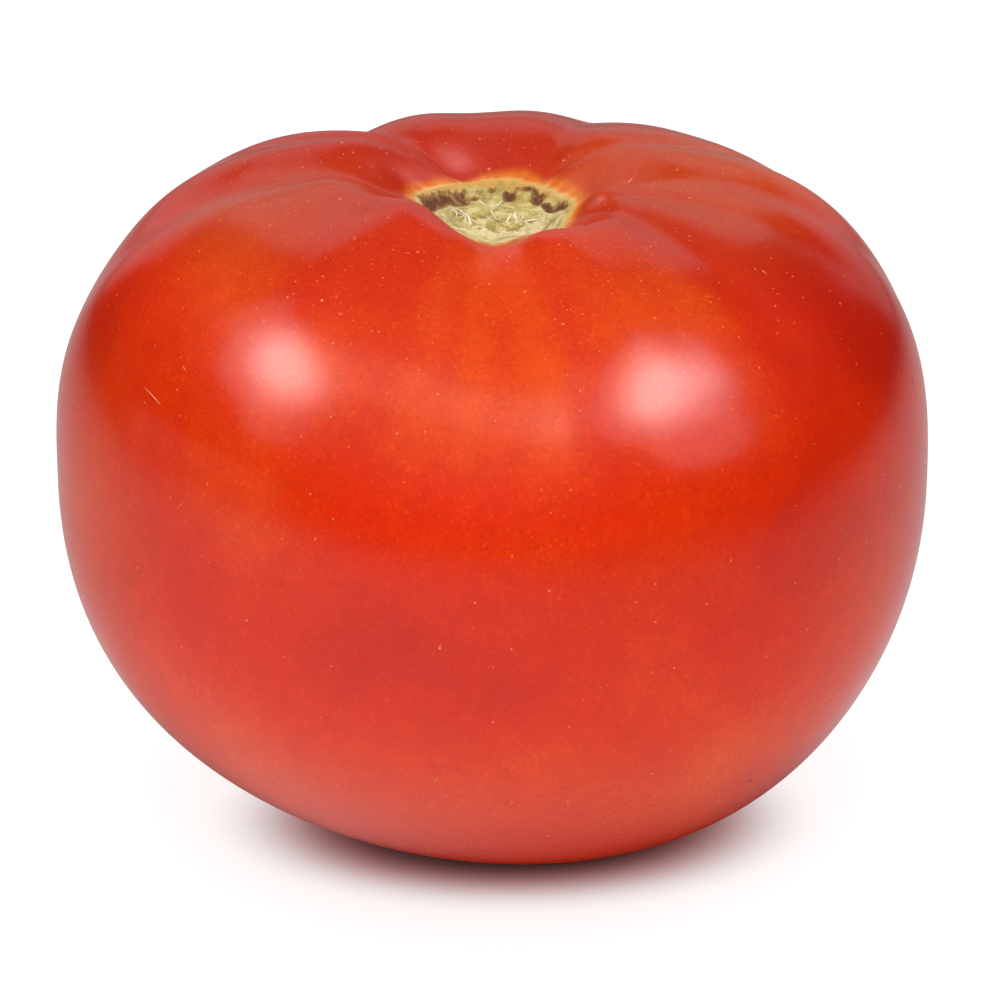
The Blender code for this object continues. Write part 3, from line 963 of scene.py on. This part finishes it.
def build_floor():
    """A pale disc that glows as painted light, except in a painted contact shadow under the fruit, and a card
    under it for the gloss.
    """
    material, g, shader = new_material("pale_floor")
    where = g.node("ShaderNodeTexCoord").outputs["Object"]
    tone = g.noise(where, 40.0, 2.0, 0.5)
    g.set(shader.inputs["Base Color"], g.mix(tone, FLOOR_DARK, FLOOR_LIGHT))
    shader.inputs["Roughness"].default_value = 0.9
    shader.inputs["Specular IOR Level"].default_value = 0.1
    oval = g.node("ShaderNodeVectorMath", {"operation": "MULTIPLY_ADD"})
    g.set(oval.inputs[0], where)
    oval.inputs[1].default_value = (1.0 / GLOW_WIDE, 1.0 / GLOW_DEEP, 0.0)
    oval.inputs[2].default_value = (-GLOW_MIDDLE_X / GLOW_WIDE, -GLOW_MIDDLE_Y / GLOW_DEEP, 0.0)
    away = g.node("ShaderNodeVectorMath", {"operation": "LENGTH"})
    g.set(away.inputs[0], oval.outputs["Vector"])
    # Painted light: the glow rises out of the painted contact shadow, red near the foot as painted bounce
    # light
    glow = g.between(away.outputs["Value"], GLOW_FROM, GLOW_TO, 0.0, GLOW)
    white = g.between(away.outputs["Value"], GLOW_FROM, GLOW_WHITE_FROM)
    g.set(shader.inputs["Emission Color"], g.mix(white, PAINTED_BOUNCE_RED, WHITE))
    g.set(shader.inputs["Emission Strength"], glow)
    floor, _ = disc("studio_floor", FLOOR_RADIUS, 16, 0.0, material)
    floor.visible_glossy = False

    material, g, shader = new_material("gloss_card")
    shader.inputs["Base Color"].default_value = BLACK
    shader.inputs["Specular IOR Level"].default_value = 0.0
    shader.inputs["Emission Color"].default_value = WHITE
    g.set(shader.inputs["Emission Strength"], g.attribute("painted_floor_reflection"))
    material.cycles.emission_sampling = "NONE"
    card, points = disc("gloss_card", CARD_RADIUS, 60, -0.0005, material)
    card.visible_diffuse = False
    card.visible_camera = False
    card.visible_shadow = False
    # The card's glow stands in for the floor seen in the gloss, fading out near the foot: painted reflection,
    # with the floor's contact shadow painted into it
    radius = np.hypot(points[:, 0] - FOOT_MIDDLE_X, points[:, 1])
    az = np.degrees(np.arctan2(points[:, 1], points[:, 0])) % 360.0
    level = 0.50 + 0.56 * bump(az, 242.0, 58.0) + 0.14 * bump(az, 12.0, 40.0)
    left = bump(az, 180.0, 30.0)
    near = smooth((radius - 0.018 + 0.006 * left) / (0.024 + 0.040 * left))
    front = bump(az, 296.0, 56.0)
    fade = (0.85 + 0.15 * front) * smooth((radius - 0.08) / (0.48 - 0.36 * front))
    paint(card, "painted_floor_reflection", level * near * (1.0 - fade))


AIM = Vector((0.0, 0.0, 0.032))


def direction(azimuth, elevation):
    a, e = math.radians(azimuth), math.radians(elevation)
    return Vector((math.cos(a) * math.cos(e), math.sin(a) * math.cos(e), math.sin(e)))


# Soft light of the room on the matt parts: azimuth, elevation, strength
ROOM_MATT = (
    (0.0, 55.0, 0.61),
    (60.0, 55.0, 0.41),
    (120.0, 55.0, 0.81),
    (180.0, 55.0, 0.32),
    (240.0, 55.0, 2.00),
    (300.0, 55.0, 1.12),
    (225.0, 30.0, 0.35),
    (270.0, 30.0, 1.33),
    (270.0, 80.0, 1.19),
    (90.0, 30.0, 1.34),
)
ROOM_MATT_FOCUS = 9.0
# Round keys, then flat cards, that show only in the gloss: azimuth, elevation, width and height in metres,
# brightness
GLOSS_KEYS = (
    ("key_left_core", 195.0, 54.0, 0.46, 0.30, 6.5),
    ("key_left_middle", 193.0, 53.0, 0.72, 0.48, 5.4),
    ("key_left_outer", 190.0, 50.0, 0.96, 0.70, 2.3),
    ("key_left_side", 150.0, 47.0, 0.34, 0.34, 1.3),
    ("key_left_low", 211.0, 34.0, 0.50, 0.48, 1.6),
    ("key_left_top", 203.0, 68.0, 0.46, 0.24, 0.4),
    ("key_right_core", 340.0, 54.0, 0.48, 0.34, 7.5),
    ("key_right_middle", 338.0, 55.0, 0.68, 0.56, 4.8),
    ("key_right_outer", 334.0, 56.0, 0.92, 0.84, 2.4),
    ("key_right_low", 333.0, 32.0, 0.52, 0.54, 2.3),
    ("key_right_side", 14.0, 60.0, 0.30, 0.32, 2.2),
)
GLOSS_CARDS = (
    ("top_card", 262.0, 72.0, 0.80, 0.40, 0.90),
    ("back_card", 89.0, 31.0, 0.72, 0.40, 0.52),
    ("back_low_card", 86.0, 7.0, 1.30, 0.40, 0.34),
    ("left_low_card", 192.0, -1.0, 1.10, 0.26, 0.40),
)


def panel(shape, name, azimuth, elevation, width, height, brightness):
    """A soft panel a metre away that only shows in the gloss, aimed at the fruit."""
    light = bpy.data.lights.new(name, "AREA")
    light.shape = shape
    light.size = width
    light.size_y = height
    area = width * height * (math.pi / 4.0 if shape == "ELLIPSE" else 1.0)
    light.energy = brightness * math.pi * area
    lamp = bpy.data.objects.new(name, light)
    lamp.visible_diffuse = False
    lamp.location = AIM + direction(azimuth, elevation)
    lamp.rotation_euler = (AIM - lamp.location).to_track_quat("-Z", "Y").to_euler()
    bpy.context.scene.collection.objects.link(lamp)


def build_light():
    for row in GLOSS_KEYS:
        panel("ELLIPSE", *row)
    for row in GLOSS_CARDS:
        panel("RECTANGLE", *row)
    world = bpy.data.worlds.new("studio")
    bpy.context.scene.world = world
    world.use_nodes = True
    world.cycles_visibility.glossy = False
    g = Graph(world.node_tree)
    for old in list(world.node_tree.nodes):
        world.node_tree.nodes.remove(old)
    where = g.node("ShaderNodeTexCoord").outputs["Generated"]
    strength = 0.0
    for azimuth, elevation, amount in ROOM_MATT:
        dot = g.node("ShaderNodeVectorMath", {"operation": "DOT_PRODUCT"})
        g.set(dot.inputs[0], where)
        dot.inputs[1].default_value = direction(azimuth, elevation)
        spread = g.math("MULTIPLY_ADD", dot.outputs["Value"], ROOM_MATT_FOCUS, -ROOM_MATT_FOCUS)
        strength = g.math("MULTIPLY_ADD", g.math("EXPONENT", spread), amount, strength)
    seen = g.math("MULTIPLY", g.node("ShaderNodeLightPath").outputs["Is Camera Ray"], BACKDROP_WHITE)
    background = g.node("ShaderNodeBackground", None, Strength=g.math("MAXIMUM", strength, seen))
    out = g.node("ShaderNodeOutputWorld")
    g.tree.links.new(background.outputs[0], out.inputs["Surface"])


CAMERA_DISTANCE = 0.6
CAMERA_AZIMUTH = 270.0
CAMERA_ELEVATION = 24.0
CAMERA_SHIFT = (0.0076, 0.0007)
SENSOR_WIDTH = 36.0
# How wide the picture is at the fruit, in metres
FRAME_WIDTH = 0.09702


def build_camera():
    camera = bpy.data.cameras.new("camera")
    camera.sensor_width = SENSOR_WIDTH
    camera.lens = SENSOR_WIDTH * CAMERA_DISTANCE / FRAME_WIDTH
    camera.shift_x, camera.shift_y = CAMERA_SHIFT
    holder = bpy.data.objects.new("camera", camera)
    holder.location = AIM + direction(CAMERA_AZIMUTH, CAMERA_ELEVATION) * CAMERA_DISTANCE
    holder.rotation_euler = (AIM - holder.location).to_track_quat("-Z", "Y").to_euler()
    bpy.context.scene.collection.objects.link(holder)
    bpy.context.scene.camera = holder


shift = box_shift()
build_fruit(shift)
build_cork(shift)
build_fibres(shift)
build_marks(shift)
build_blossom_scar(shift)
build_floor()
build_light()
build_camera()

view = bpy.context.scene.view_settings
view.view_transform = "Standard"
view.look = "None"
view.exposure = 0.0
view.gamma = 1.0
